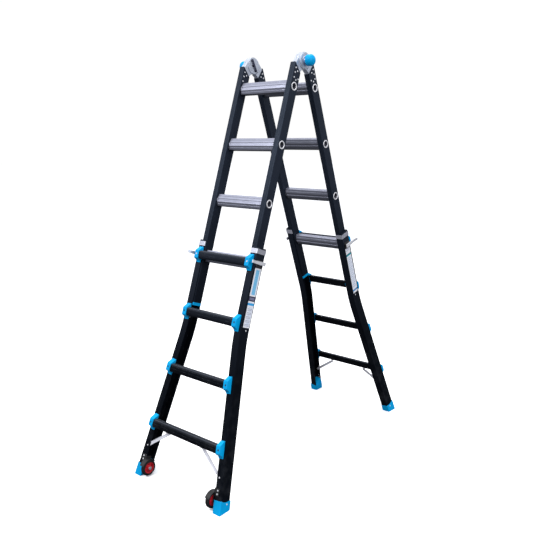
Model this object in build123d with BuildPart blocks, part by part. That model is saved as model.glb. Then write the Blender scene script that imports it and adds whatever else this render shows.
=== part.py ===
from build123d import *
import os
from math import sin, cos, tan, radians, sqrt

os.makedirs("parts", exist_ok=True)

# Multi position telescopic ladder, standing as a stepladder.
# Millimetres and degrees. Origin: on the ground, midway between the four feet.
# +X runs along the hinge pivot, -Y is the climbing side, +Z is up.
# Front is the -Y section, rear the +Y section; right is +X on both.
# Each section is set out with three coordinates:
#   x     across the ladder
#   off   square to the section, outward from the pivot plane
#   down  distance down the rail from the hinge pivot

# ---------------------------------------------------------------- driving sizes
LEAN = 19.0              # each section's lean from vertical
PIVOT_Z = 1955.0         # hinge pivot height above ground
PITCH = 280.0            # rung spacing
RUNG_1 = 139.0           # first rung below the pivot
RUNGS = 4                # rungs, and treads, on each frame

INNER_X = 176.0          # outer face of an inner rail
INNER_W = 30.0           # inner rail width across the ladder
INNER_D = 52.0           # inner rail depth
INNER_WALL = 2.0
RAIL_OFF = 37.0          # centre of the rails, off the pivot plane
INNER_TOP = 26.0         # highest point before the slanted cut
INNER_END = 1212.0       # lower end of the inner rails

OUTER_X = 189.0          # outer face of an outer rail
OUTER_W = 37.0           # outer channel width
OUTER_D = 60.0           # outer channel depth
OUTER_WALL = 2.5
OUTER_TOP = 905.0        # upper end of the outer rails
FLARE = 7.5              # outward splay of the lower rails
BEND_R = 800.0           # bend radius on the channel's outer face
BEND_START = 1275.6      # down to where the bend starts
FLARE_LEN = 690.0        # splayed length below the bend

TUBE_R = 15.6            # rung core tube
BORE_R = 14.0            # open bore of the rung core

PIVOT_R = 12.0           # hinge pivot pin
SPINDLE_R = 6.0          # spindles of the hinge lock and the side lock
RIVET_R = 2.4
SCREW_R = 3.0            # tread screws
FIT = 0.05               # radial clearance of pins in holes, and gap between faces

# ---------------------------------------------------------------- places derived from them
PIVOT = Vector(0, 0, PIVOT_Z)
ACROSS = Vector(1, 0, 0)
DOWN = Vector(0, -sin(radians(LEAN)), -cos(radians(LEAN)))      # down the front rail
OUT = Vector(0, -cos(radians(LEAN)), sin(radians(LEAN)))        # outward from the front section
REAR_OUT = Vector(0, cos(radians(LEAN)), sin(radians(LEAN)))    # outward from the rear section
COS_FLARE, SIN_FLARE = cos(radians(FLARE)), sin(radians(FLARE))
SPLAY_DOWN = DOWN * COS_FLARE + ACROSS * SIN_FLARE     # down the splayed right rail
SPLAY_OUT = ACROSS * COS_FLARE - DOWN * SIN_FLARE      # across it, outward

RUNG_ROWS = [RUNG_1 + i * PITCH for i in range(RUNGS)]
LOCK_ROW = RUNG_ROWS[-1]                               # side locks enter the lowest rung
TREAD_ROWS = [LOCK_ROW + i * PITCH for i in range(RUNGS)]
RAIL_X = INNER_X - INNER_W / 2                         # centre of an inner rail
OUTER_BACK, OUTER_FRONT = RAIL_OFF - OUTER_D / 2, RAIL_OFF + OUTER_D / 2
BEND_CENTRE = (OUTER_X + BEND_R, BEND_START)


def cross_plane(down):
    """Plane square to the front rail, (x, off); extrudes downward."""
    return Plane(origin=PIVOT + DOWN * down, x_dir=ACROSS, z_dir=DOWN)


def face_plane(off):
    """Plane parallel to the front section, (x, down); extrudes inward."""
    return Plane(origin=PIVOT + OUT * off, x_dir=ACROSS, z_dir=-OUT)


def side_plane(x):
    """Plane square to the pivot, (off, down) of the front section; extrudes to +X."""
    return Plane(origin=PIVOT + ACROSS * x, x_dir=OUT, z_dir=ACROSS)


def rear_side_plane(x):
    """The same for the rear section; extrudes to -X."""
    return Plane(origin=PIVOT + ACROSS * x, x_dir=REAR_OUT, z_dir=-ACROSS)


def point(x, off, down):
    """World point of the front section."""
    return PIVOT + ACROSS * x + OUT * off + DOWN * down


def edge_x(down, depth):
    """x of the line that lies depth inward from the outer channel's outer face."""
    radius = BEND_R + depth
    centre_x = OUTER_X + BEND_R
    past_bend = down - BEND_START - radius * SIN_FLARE
    if down <= BEND_START:
        return OUTER_X - depth
    if past_bend < 0:
        return centre_x - sqrt(radius * radius - (down - BEND_START) ** 2)
    return centre_x - radius * COS_FLARE + past_bend * tan(radians(FLARE))


def flare_point(depth, length=0.0):
    """(x, down) at length below the bend, on the line at that depth."""
    radius = BEND_R + depth
    return (OUTER_X + BEND_R - radius * COS_FLARE + length * SIN_FLARE,
            BEND_START + radius * SIN_FLARE + length * COS_FLARE)


SPLAY_X, SPLAY_TOP = flare_point(OUTER_W / 2)


def splay_point(along, outward=0.0, off=RAIL_OFF):
    """World point on the splayed right rail; along is 0 where the bend ends."""
    return point(SPLAY_X, off, SPLAY_TOP) + SPLAY_DOWN * along + SPLAY_OUT * outward


def shifted(outline, off, down):
    """Outline moved by (off, down)."""
    return [(off + a, down + b) for a, b in outline]


def save(name, part):
    part.label = name
    export_step(part, f"parts/{name}.step")


def mirrored(part):
    """The same part on the other side of the ladder."""
    with BuildPart() as other:
        mirror(part, about=Plane.YZ)
    return other.part


def turned(part):
    """The same part half a turn round Z, on the other section."""
    with BuildPart() as other:
        add(part, rotation=(0, 0, 180))
    return other.part


def save_right_left(name, right):
    save(f"{name}_right", right)
    save(f"{name}_left", mirrored(right))


def save_front_rear(name, front):
    save(f"front_{name}", front)
    save(f"rear_{name}", turned(front))


def save_four(name, front_right):
    """Write the part at all four rails."""
    front_left = mirrored(front_right)
    save(f"front_{name}_right", front_right)
    save(f"front_{name}_left", front_left)
    save(f"rear_{name}_right", turned(front_left))
    save(f"rear_{name}_left", turned(front_right))


# ---------------------------------------------------------------- inner rails
# (off, down)
HINGE_RIVETS = [(50, 54.5), (50, 76.5), (50, 100), (34.5, 66), (34.5, 108), (19, 99)]
RAIL_TOP_CUT = [(0, 10), (70, 10), (70, 25), (0, 73.7)]
CUT_MARGIN = 5           # cutters reach this far past the rail's sides
LINE_X = 5.5             # drawn lines, each side of the rail's centre
LINE_W, LINE_D = 1.2, 0.9


def inner_rail():
    with BuildPart() as rail:
        with BuildSketch(cross_plane(INNER_TOP)):
            with Locations((RAIL_X, RAIL_OFF)):
                RectangleRounded(INNER_W, INNER_D, 2.0)
                RectangleRounded(INNER_W - 2 * INNER_WALL, INNER_D - 2 * INNER_WALL, 0.5,
                                 mode=Mode.SUBTRACT)
        extrude(amount=INNER_END - INNER_TOP)
        # slanted top that clears the hinge arms
        with BuildSketch(side_plane(INNER_X - INNER_W - CUT_MARGIN)):
            with BuildLine():
                Polyline(*RAIL_TOP_CUT, close=True)
            make_face()
        extrude(amount=INNER_W + 2 * CUT_MARGIN, mode=Mode.SUBTRACT)
        # rung holes, then hinge rivet holes
        rung_places = [(RAIL_OFF, row) for row in RUNG_ROWS]
        for places, radius in ((rung_places, TUBE_R), (HINGE_RIVETS, RIVET_R)):
            with BuildSketch(side_plane(INNER_X - INNER_W - CUT_MARGIN)):
                with Locations(*places):
                    Circle(radius + FIT)
            extrude(amount=INNER_W + 2 * CUT_MARGIN, mode=Mode.SUBTRACT)
        # shallow lines drawn along the front and back faces
        with BuildSketch(cross_plane(INNER_TOP)):
            with Locations(*[(RAIL_X + dx, RAIL_OFF + face * INNER_D / 2)
                             for dx in (-LINE_X, LINE_X) for face in (-1, 1)]):
                Rectangle(LINE_W, LINE_D)
        extrude(amount=INNER_END - INNER_TOP, mode=Mode.SUBTRACT)
    return rail.part


save_four("inner_rail", inner_rail())

# ---------------------------------------------------------------- inner rungs
# Barrel section with a grooved face each side and a round core that is swaged
# into the rails.
RUNG_SHELL = 143.0       # half length of the barrel section
RING_R = 19.5            # swaged ring on the rail's face
# (off, down) from the rung's centre, top to bottom on the outward side
RUNG_HALF = [
    (0, -28.5), (2.4, -28.5), (3.2, -27.5), (4.0, -28.5), (6.4, -28.5), (7.2, -27.5),
    (8.0, -28.5), (11.6, -28.5), (12.4, -27.8), (14.9, -19.2), (14.6, -18.2), (15.5, -17.2),
    (17.9, -8.9), (18, -6.2), (17.4, -5.6), (15.8, -5.2), (15.8, 2.4), (17.2, 2.8),
    (17.9, 3.5), (18, 10.2), (17.3, 11.4), (14.6, 17.6), (13.8, 17.9), (13.8, 19.5),
    (10.3, 27.8), (9.4, 28.5), (8.0, 28.5), (7.2, 27.5), (6.4, 28.5), (4.0, 28.5),
    (3.2, 27.5), (2.4, 28.5), (0, 28.5)]
RUNG_OUTLINE = RUNG_HALF + [(-a, b) for a, b in reversed(RUNG_HALF[1:-1])]
RUNG_HOLLOW = [(-9.8, -26.2), (9.8, -26.2), (13.4, -14), (13.4, 13),
               (8.0, 26.2), (-8.0, 26.2), (-13.4, 13), (-13.4, -14)]
# (x, radius): inner bead, core through the rail, swaged ring
RUNG_END = [
    (RUNG_SHELL - 1, BORE_R), (RUNG_SHELL - 1, 17.8), (RUNG_SHELL + 1.6, 18.4), (145.9, 17.8),
    (145.9, TUBE_R), (INNER_X + FIT, TUBE_R), (INNER_X + FIT, RING_R), (176.7, RING_R),
    (177.6, 18.4), (177.6, 15.5), (177.0, 14.4), (INNER_X, BORE_R)]


def inner_rungs():
    with BuildPart() as rungs:
        for row in RUNG_ROWS:
            with BuildSketch(side_plane(-RUNG_SHELL)):
                with BuildLine():
                    Polyline(*shifted(RUNG_OUTLINE, RAIL_OFF, row), close=True)
                make_face()
                with BuildLine():
                    Polyline(*shifted(RUNG_HOLLOW, RAIL_OFF, row), close=True)
                make_face(mode=Mode.SUBTRACT)
                with Locations((RAIL_OFF, row)):
                    Circle(TUBE_R)
                    Circle(BORE_R, mode=Mode.SUBTRACT)
            extrude(amount=2 * RUNG_SHELL)
            centre = point(0, RAIL_OFF, row)
            for hand in (1, -1):
                with BuildSketch(Plane(origin=centre, x_dir=ACROSS * hand, z_dir=DOWN * hand)):
                    with BuildLine():
                        Polyline(*RUNG_END, close=True)
                    make_face()
                revolve(axis=Axis(tuple(centre), (1, 0, 0)))
    return rungs.part


save_front_rear("inner_rungs", inner_rungs())

# ---------------------------------------------------------------- rail end plugs
PLUG_COLLAR = 14.0       # collar below the rail's end
PLUG_INSERT = 32         # height of the hollow insert inside the rail


def rail_plugs():
    bore_w = INNER_W - 2 * INNER_WALL
    bore_d = INNER_D - 2 * INNER_WALL
    with BuildPart() as plugs:
        for hand in (1, -1):
            with BuildSketch(cross_plane(INNER_END + FIT)):
                with Locations((hand * RAIL_X, RAIL_OFF)):
                    RectangleRounded(INNER_W, INNER_D, 2.0)
            extrude(amount=PLUG_COLLAR)
            with BuildSketch(cross_plane(INNER_END - PLUG_INSERT)):
                with Locations((hand * RAIL_X, RAIL_OFF)):
                    RectangleRounded(bore_w - 0.3, bore_d - 0.3, 1.2)
                    RectangleRounded(bore_w - 5, bore_d - 5, 1.0, mode=Mode.SUBTRACT)
            extrude(amount=PLUG_INSERT + 1)
    return plugs.part


save_front_rear("rail_plugs", rail_plugs())

# ---------------------------------------------------------------- hinge
# The thick arms stay outside a 43.5 mm circle so that the other half can swing
# from folded to straight.
DISC_R = 40.0            # hinge disc
SWING_R = 43.5
RAISED_R = 38.6          # raised disc on each cheek of the fork
ARM_X0, ARM_X1 = 148.15, 173.85
CHEEK_IN, CHEEK_OUT = 157.4, 168.6      # gap between the fork's cheeks
TONGUE_X0, TONGUE_X1 = 158.0, 168.0
LOCK_PIN_R = 4.5
LOCK_PIN_AT = 26.0       # lock pins' distance from the pivot
LOCK_DIR = 136.5         # direction of the lock bar in the section plane
SWING = 2 * LEAN         # angle between the two sections
# (off, down) of each hinge half
ARM = [(13.2, 120), (60.8, 120), (60.8, 44), (44.2, 3), (30, 1), (2, 30), (2, 44),
       (6.5, 50), (13.2, 60.5)]
CHEEK = [(13.2, 70), (60.8, 58), (60.8, 44), (38.35, -11.4), (0, 0), (2, 39.9),
         (6.5, 50), (13.2, 60.5)]


def hinge_fork():
    """Front half: a fork whose two cheeks take the rear half's tongue between them."""
    raised_in = 145.0        # inner face of the inner cheek's raised disc
    raised_out = 4.4         # height of the outer cheek's raised disc
    with BuildPart() as fork:
        with BuildSketch(side_plane(ARM_X0)):
            with BuildLine():
                Polyline(*ARM, close=True)
            make_face()
            Circle(SWING_R, mode=Mode.SUBTRACT)
        extrude(amount=ARM_X1 - ARM_X0)
        for x0, x1 in ((ARM_X0, CHEEK_IN), (CHEEK_OUT, ARM_X1)):
            with BuildSketch(side_plane(x0)):
                with BuildLine():
                    Polyline(*CHEEK, close=True)
                make_face()
                Circle(DISC_R)
            extrude(amount=x1 - x0)
        # raised disc on the outer cheek, with a bevelled edge
        with BuildSketch(side_plane(ARM_X1)):
            Circle(RAISED_R)
        extrude(amount=raised_out)
        with BuildSketch(side_plane(ARM_X1 + raised_out)):
            Circle(37.2)
        extrude(amount=1.4, taper=40)
        # raised disc on the inner cheek, with the recess for the lock bar
        with BuildSketch(side_plane(raised_in)):
            Circle(RAISED_R)
        extrude(amount=ARM_X0 - raised_in)
        with BuildSketch(side_plane(140.0)):
            with Locations((0, 0)):
                SlotOverall(70, 16, rotation=LOCK_DIR)
        extrude(amount=13.7, mode=Mode.SUBTRACT)
        # pivot bore and lock pin holes of the inner cheek
        with BuildSketch(side_plane(140.0)):
            Circle(PIVOT_R + FIT)
            with PolarLocations(LOCK_PIN_AT, 2, start_angle=LOCK_DIR):
                Circle(LOCK_PIN_R + 0.1)
        extrude(amount=22.0, mode=Mode.SUBTRACT)
        # pivot bore of the outer cheek
        with BuildSketch(side_plane(160.0)):
            Circle(PIVOT_R + FIT)
        extrude(amount=25.0, mode=Mode.SUBTRACT)
        with BuildSketch(side_plane(ARM_X0 - 1)):
            with Locations(*HINGE_RIVETS):
                Circle(RIVET_R + FIT)
        extrude(amount=ARM_X1 - ARM_X0 + 2, mode=Mode.SUBTRACT)
    return fork.part


def hinge_tongue():
    """Rear half: a tongue with two pairs of lock holes, one pair for the
    stepladder angle and one pair for folded and straight."""
    with BuildPart() as tongue:
        with BuildSketch(rear_side_plane(ARM_X1)):
            with BuildLine():
                Polyline(*ARM, close=True)
            make_face()
            Circle(SWING_R, mode=Mode.SUBTRACT)
        extrude(amount=ARM_X1 - ARM_X0)
        with BuildSketch(rear_side_plane(TONGUE_X1)):
            with BuildLine():
                Polyline(*CHEEK, close=True)
            make_face()
            Circle(DISC_R)
        extrude(amount=TONGUE_X1 - TONGUE_X0)
        with BuildSketch(side_plane(TONGUE_X0 - 2)):
            Circle(PIVOT_R + FIT)
            for direction in (LOCK_DIR, LOCK_DIR + SWING):
                with PolarLocations(LOCK_PIN_AT, 2, start_angle=direction):
                    Circle(LOCK_PIN_R + 0.2)
        extrude(amount=TONGUE_X1 - TONGUE_X0 + 4, mode=Mode.SUBTRACT)
        with BuildSketch(rear_side_plane(ARM_X1 + 1)):
            with Locations(*HINGE_RIVETS):
                Circle(RIVET_R + FIT)
        extrude(amount=ARM_X1 - ARM_X0 + 2, mode=Mode.SUBTRACT)
    return tongue.part


# (x, radius): flanged head, and a neck that houses the knob spring
PIVOT_PIN = [
    (153.9, SPINDLE_R + 0.15), (153.9, PIVOT_R - 0.6), (154.5, PIVOT_R), (179.75, PIVOT_R),
    (179.75, 21.0), (181.6, 22.2), (183.2, 21.6), (184.0, 20.0), (184.0, 15.8), (192.0, 15.0),
    (192.0, 12.6), (184.0, 12.6), (184.0, SPINDLE_R + 0.15)]


def hinge_pivot_pins():
    """Hollow pivot pins."""
    with BuildPart() as pins:
        for hand in (1, -1):
            with BuildSketch(Plane(origin=PIVOT, x_dir=ACROSS * hand, z_dir=(0, hand, 0))):
                with BuildLine():
                    Polyline(*PIVOT_PIN, close=True)
                make_face()
            revolve(axis=Axis(tuple(PIVOT), (1, 0, 0)))
    return pins.part


def hinge_washers():
    """Thin washers on both sides of each tongue."""
    with BuildPart() as washers:
        for x in (157.5, 168.1, -157.9, -168.5):
            with BuildSketch(side_plane(x)):
                Circle(21.0)
                Circle(PIVOT_R + 0.15, mode=Mode.SUBTRACT)
            extrude(amount=0.4)
    return washers.part


# (x, radius): shank with a set head at each end
HINGE_RIVET = [
    (144.7, 0), (144.7, RIVET_R), (145.3, 3.5), (145.95, 3.8), (145.95, RIVET_R),
    (176.03, RIVET_R), (176.03, 4.1), (176.8, 3.8), (177.35, 2.7), (177.6, 0)]


def hinge_rivets():
    """Rivets that hold each hinge half in its rail."""
    with BuildPart() as rivets:
        for hand in (1, -1):
            for off, down in HINGE_RIVETS:
                centre = point(0, off, down)
                with BuildSketch(Plane(origin=centre, x_dir=ACROSS * hand, z_dir=DOWN * hand)):
                    with BuildLine():
                        Polyline(*HINGE_RIVET, close=True)
                    make_face()
                revolve(axis=Axis(tuple(centre), (1, 0, 0)))
    return rivets.part


def hinge_lock():
    """Lock bar, its two pins and the spindle that the knob pulls, clear of the tongue."""
    root_x = 142.0           # pins and spindle start inside the bar
    with BuildPart() as lock:
        with BuildSketch(side_plane(138.7)):
            SlotOverall(66, 9.8, rotation=LOCK_DIR)
        extrude(amount=3.8)
        with BuildSketch(side_plane(root_x)):
            with PolarLocations(LOCK_PIN_AT, 2, start_angle=LOCK_DIR):
                Circle(LOCK_PIN_R)
        extrude(amount=15.0)
        with BuildSketch(side_plane(root_x)):
            Circle(SPINDLE_R)
        extrude(amount=79.9)
    return lock.part


def hinge_knob():
    """Knob with an elliptical dome, open at the back to go over the pivot pin's neck."""
    dome_x, dome_len, dome_r = 212, 19, 26.3
    floor_x = 205            # bottom of the open recess
    bore_end = 222.05        # end of the spindle bore
    with BuildPart() as knob:
        with BuildSketch(Plane(origin=PIVOT, x_dir=ACROSS, z_dir=(0, 1, 0))):
            with BuildLine():
                Polyline((floor_x, SPINDLE_R + FIT), (floor_x, 17.5), (194, 17.5), (194, 24.4),
                         (195.4, 25.8), (dome_x, dome_r))
                Spline(*[(dome_x + dome_len * sin(radians(t)), dome_r * cos(radians(t)))
                         for t in range(0, 91, 15)],
                       tangents=((1, 0), (0, -1)))
                Polyline((dome_x + dome_len, 0), (bore_end, 0), (bore_end, SPINDLE_R + FIT),
                         (floor_x, SPINDLE_R + FIT))
            make_face()
        revolve(axis=Axis(tuple(PIVOT), (1, 0, 0)))
    return knob.part


def hinge_springs():
    """Knob springs, round the spindles and inside the necks."""
    with BuildPart() as springs:
        with BuildLine() as coil:
            Helix(pitch=4.0, height=18.0, radius=9.4, center=tuple(PIVOT + ACROSS * 185.4),
                  direction=(1, 0, 0))
        with BuildSketch(Plane(origin=coil.line @ 0, z_dir=coil.line % 0)):
            Circle(0.9)
        sweep(path=coil.line)
        mirror(about=Plane.YZ)
    return springs.part


save_right_left("hinge_fork", hinge_fork())
save_right_left("hinge_tongue", hinge_tongue())
save("hinge_pivot_pins", hinge_pivot_pins())
save("hinge_washers", hinge_washers())
save_front_rear("hinge_rivets", hinge_rivets())
save_right_left("hinge_lock", hinge_lock())
save_right_left("hinge_knob", hinge_knob())
save("hinge_springs", hinge_springs())

# ---------------------------------------------------------------- outer rails
# Stations of the fasteners on the outer frame
STOP_RIVET = (30, 1288)                  # (off, down), through the web
BRACE_RAIL = (246.0, 1937.0)             # (x, down), brace to front flange
BRACE_TREAD = (121, 76)                  # (x, off), brace to lowest tread
CASTER_RIVETS = [(254, 1991), (254.5, 2007)]    # (x, down)
FOOT_RIVET_ALONG, FOOT_RIVET_OFF = 670, 30
SCREW_FROM_EDGE = 13.5                   # tread screws, from the channel's open edge
CHANNEL_CLEAR = 10                       # the hollow's cutter runs out past the channel


def screw_x(row):
    return edge_x(row, OUTER_W - SCREW_FROM_EDGE)


def is_outer_corner(edge):
    """True for the long edges along the channel's two outer corners."""
    centre = edge.center()
    from_pivot = centre - PIVOT
    return (edge.length > 100
            and abs(from_pivot.dot(OUT) - RAIL_OFF) > OUTER_D / 2 - 0.1
            and centre.X > OUTER_X - 1
            and centre.X - edge_x(from_pivot.dot(DOWN), 0) > -1.0)


def outer_rail():
    """Channel, open toward the ladder's middle: straight where it slides on the
    inner rail, then bent outward to the foot."""
    # inset from the flanges, nearest and farthest depth, upper end, splayed length, mode
    solid = (0, 0, OUTER_W, OUTER_TOP, FLARE_LEN, Mode.ADD)
    hollow = (OUTER_WALL, OUTER_WALL, OUTER_W + CHANNEL_CLEAR, OUTER_TOP - CHANNEL_CLEAR,
              720, Mode.SUBTRACT)
    with BuildPart() as rail:
        for inset, near, far, top, length, mode in (solid, hollow):
            with BuildSketch(face_plane(OUTER_FRONT - inset)):
                with BuildLine():
                    Line((OUTER_X - near, top), (OUTER_X - near, BEND_START))
                    CenterArc(BEND_CENTRE, BEND_R + near, 180, -FLARE)
                    Line(flare_point(near), flare_point(near, length))
                    Line(flare_point(near, length), flare_point(far, length))
                    Line(flare_point(far, length), flare_point(far))
                    CenterArc(BEND_CENTRE, BEND_R + far, 180 - FLARE, FLARE)
                    Polyline((OUTER_X - far, BEND_START), (OUTER_X - far, top),
                             (OUTER_X - near, top))
                make_face()
            extrude(amount=OUTER_D - 2 * inset, mode=mode)
        # softened outer corners of the channel
        fillet(rail.edges().filter_by(is_outer_corner), 2.2)
        # side lock hole and the hole of the rail stop
        with BuildSketch(side_plane(170)):
            with Locations((RAIL_OFF, LOCK_ROW)):
                Circle(BORE_R)
            with Locations(STOP_RIVET):
                Circle(RIVET_R + FIT)
        extrude(amount=30, mode=Mode.SUBTRACT)
        # tread screw holes and the brace and caster rivet holes in the front flange
        with BuildSketch(face_plane(OUTER_FRONT + 2)):
            with Locations(*[(screw_x(row), row) for row in TREAD_ROWS]):
                Circle(SCREW_R + FIT)
            with Locations(BRACE_RAIL, *CASTER_RIVETS):
                Circle(RIVET_R + FIT)
        extrude(amount=8, mode=Mode.SUBTRACT)
        # foot rivet hole through the web
        with BuildSketch(Plane(origin=splay_point(FOOT_RIVET_ALONG, 0, FOOT_RIVET_OFF),
                               x_dir=OUT, z_dir=SPLAY_OUT)):
            Circle(RIVET_R + FIT)
        extrude(amount=30, mode=Mode.SUBTRACT)
    return rail.part


save_four("outer_rail", outer_rail())

# ---------------------------------------------------------------- treads
TREAD_IN = 69.5          # back of a tread, off the pivot plane
TREAD_OUT = 91.5         # front of a tread
TREAD_TOP = -20.5        # upper back edge of a tread, from its row line
TREAD_BOT = 21.0         # underside
TREAD_SLOPE = 4.0        # drop of the top from back to front
TREAD_NOSE = TREAD_TOP + TREAD_SLOPE
TREAD_LAP = 18           # tread's end past the outer rail's open edge
# (off, distance below the row line): near-level top, rounded upright face,
# undercut lower edge
TREAD_OUTLINE = [
    (TREAD_IN, TREAD_TOP + 1.8), (TREAD_IN + 1.8, TREAD_TOP), (TREAD_OUT - 5, TREAD_NOSE),
    (TREAD_OUT - 1.6, TREAD_NOSE + 3.0), (TREAD_OUT, TREAD_NOSE + 9), (TREAD_OUT, 6),
    (TREAD_OUT - 1.4, 14), (TREAD_OUT - 4.5, TREAD_BOT), (TREAD_IN + 1.8, TREAD_BOT),
    (TREAD_IN, TREAD_BOT - 1.8)]
TREAD_HOLLOW = [
    (TREAD_IN + 2.2, TREAD_TOP + 3.2), (TREAD_IN + 3, TREAD_TOP + 2.7),
    (TREAD_OUT - 6, TREAD_NOSE + 2.4), (TREAD_OUT - 3.6, TREAD_NOSE + 4.6),
    (TREAD_OUT - 2.2, TREAD_NOSE + 9.4), (TREAD_OUT - 2.2, 5.6), (TREAD_OUT - 3.6, 13),
    (TREAD_OUT - 6.2, TREAD_BOT - 2.4), (TREAD_IN + 3, TREAD_BOT - 2.4),
    (TREAD_IN + 2.2, TREAD_BOT - 3.2)]
GRIP_OFFS = [73.2 + k * 2.9 for k in range(5)]


def tread_top(off):
    """Height of the sloping top face at off, from the row line."""
    return TREAD_TOP + TREAD_SLOPE * (off - TREAD_IN - 1.8) / (TREAD_OUT - TREAD_IN - 6.8)


def treads():
    with BuildPart() as steps:
        for row in TREAD_ROWS:
            half_len = edge_x(row, OUTER_W) + TREAD_LAP
            with BuildSketch(side_plane(-half_len)):
                with BuildLine():
                    Polyline(*shifted(TREAD_OUTLINE, 0, row), close=True)
                make_face()
                with BuildLine():
                    Polyline(*shifted(TREAD_HOLLOW, 0, row), close=True)
                make_face(mode=Mode.SUBTRACT)
                # grip grooves on the stepping face and the underside
                with Locations(*[(off, row + tread_top(off)) for off in GRIP_OFFS]):
                    Rectangle(1.4, 1.8, mode=Mode.SUBTRACT)
                with Locations(*[(off, row + TREAD_BOT) for off in GRIP_OFFS]):
                    Rectangle(1.4, 1.8, mode=Mode.SUBTRACT)
                # two shallow lines on the front face
                with Locations(*[(TREAD_OUT, row + k) for k in (-6.5, 4.0)]):
                    Rectangle(1.4, 1.4, mode=Mode.SUBTRACT)
            extrude(amount=2 * half_len)
            with BuildSketch(face_plane(TREAD_OUT + 2)):
                with Locations((screw_x(row), row), (-screw_x(row), row)):
                    Circle(SCREW_R + FIT)
            extrude(amount=34, mode=Mode.SUBTRACT)
        # brace rivet holes in the lowest tread
        brace_x, brace_off = BRACE_TREAD
        with BuildSketch(cross_plane(TREAD_ROWS[-1] + 5)):
            with Locations((brace_x, brace_off), (-brace_x, brace_off)):
                Circle(RIVET_R + FIT)
        extrude(amount=19, mode=Mode.SUBTRACT)
    return steps.part


# Wedge blocks on the rail's front face; each has a socket for the tread's end.
BRACKET_OUT = 95.0       # front of a tread bracket
BRACKET_W = 24.0
BRACKET_INSET = 1.0      # from the outer rail's open edge
# (off, distance below the row line)
BRACKET_OUTLINE = [
    (OUTER_FRONT + FIT, -38.5), (OUTER_FRONT + 3.2, -38.5), (94.2, -17.6),
    (BRACKET_OUT, -16.4), (BRACKET_OUT, 17.2), (94.0, 19.4), (91, 22.4), (87, 24.2),
    (82, 26.0), (77.5, 29.0), (74, 33.4), (72, 38.5), (OUTER_FRONT + FIT, 38.5)]


def tread_brackets():
    socket_start, socket_depth = 8, 18.5     # before and past the bracket's inner face
    with BuildPart() as brackets:
        for row in TREAD_ROWS:
            inner_x = edge_x(row, OUTER_W) + BRACKET_INSET
            # the lower brackets follow the rail's splay
            direction = SPLAY_OUT if row > BEND_START else ACROSS
            with BuildSketch(Plane(origin=point(inner_x, 0, row), x_dir=OUT, z_dir=direction)):
                with BuildLine():
                    Polyline(*BRACKET_OUTLINE, close=True)
                make_face()
            extrude(amount=BRACKET_W)
        for row in TREAD_ROWS:
            inner_x = edge_x(row, OUTER_W) + BRACKET_INSET
            with BuildSketch(side_plane(inner_x - socket_start)):
                with BuildLine():
                    Polyline(*shifted(TREAD_OUTLINE, 0, row), close=True)
                make_face()
                offset(amount=0.15, kind=Kind.INTERSECTION)
            extrude(amount=socket_start + socket_depth, mode=Mode.SUBTRACT)
            # screw head hole in front of the tread, screw hole behind it
            with BuildSketch(face_plane(BRACKET_OUT + 1)):
                with Locations((screw_x(row), row)):
                    Circle(4.6)
            extrude(amount=8, mode=Mode.SUBTRACT)
            with BuildSketch(face_plane(TREAD_IN + 1)):
                with Locations((screw_x(row), row)):
                    Circle(SCREW_R + FIT)
            extrude(amount=6, mode=Mode.SUBTRACT)
        mirror(about=Plane.YZ)
    return brackets.part


def tread_screws():
    """Hexagon socket screws; those of the top tread have a longer, tapered head."""
    shank_out = TREAD_OUT + 0.1
    with BuildPart() as screws:
        for row in TREAD_ROWS:
            is_socket = row > TREAD_ROWS[0]
            with BuildSketch(face_plane(shank_out)):
                with Locations((screw_x(row), row)):
                    Circle(SCREW_R)
            extrude(amount=shank_out - (OUTER_FRONT - OUTER_WALL + 0.1))
            # this plane faces outward, with its x axis reversed
            with BuildSketch(Plane(origin=point(0, TREAD_OUT + FIT, 0), x_dir=-ACROSS,
                                   z_dir=OUT)):
                with Locations((-screw_x(row), row)):
                    Circle(4.4)
                    if is_socket:
                        RegularPolygon(2.2, 6, mode=Mode.SUBTRACT)
            if is_socket:
                extrude(amount=2.2)
            else:
                extrude(amount=4.6, taper=12)
        mirror(about=Plane.YZ)
    return screws.part


save_front_rear("treads", treads())
save_front_rear("tread_brackets", tread_brackets())
save_front_rear("tread_screws", tread_screws())

# ---------------------------------------------------------------- guide straps and pads


def guide_straps():
    """Bands round the tops of the outer rails, slotted on the inner side."""
    x0, x1 = 150.2, 190.75               # outside faces
    hollow_x0, hollow_x1 = 151.85, 189.05
    with BuildPart() as straps:
        with BuildSketch(cross_plane(912)):
            with Locations(((x0 + x1) / 2, RAIL_OFF)):
                RectangleRounded(x1 - x0, 63.4, 2.6)
            with Locations(((hollow_x0 + hollow_x1) / 2, RAIL_OFF)):
                Rectangle(hollow_x1 - hollow_x0, 60.1, mode=Mode.SUBTRACT)
            with Locations((151.0, RAIL_OFF)):
                Rectangle(4, 53.6, mode=Mode.SUBTRACT)
        extrude(amount=22)
        mirror(about=Plane.YZ)
    return straps.part


def guide_pads():
    """Thin pads between the inner rails and the outer rails' flanges."""
    pad_x = 165.5
    from_flange = OUTER_WALL + 0.7       # pad centre, from the flange's outer face
    with BuildPart() as pads:
        with BuildSketch(cross_plane(907)):
            with Locations((pad_x, OUTER_FRONT - from_flange), (pad_x, OUTER_BACK + from_flange)):
                Rectangle(18, 1.3)
        extrude(amount=30)
        mirror(about=Plane.YZ)
    return pads.part


save_front_rear("guide_straps", guide_straps())
save_front_rear("guide_pads", guide_pads())

# ---------------------------------------------------------------- side locks
SIDE_PIN_R = 13.4
# (off, down), narrowing from the heel to the finger tip
LEVER_TAPER = [(8, 966.5), (60, 968.0), (112, 968.6), (112, 981.0), (60, 982.4), (8, 983.5)]


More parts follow.
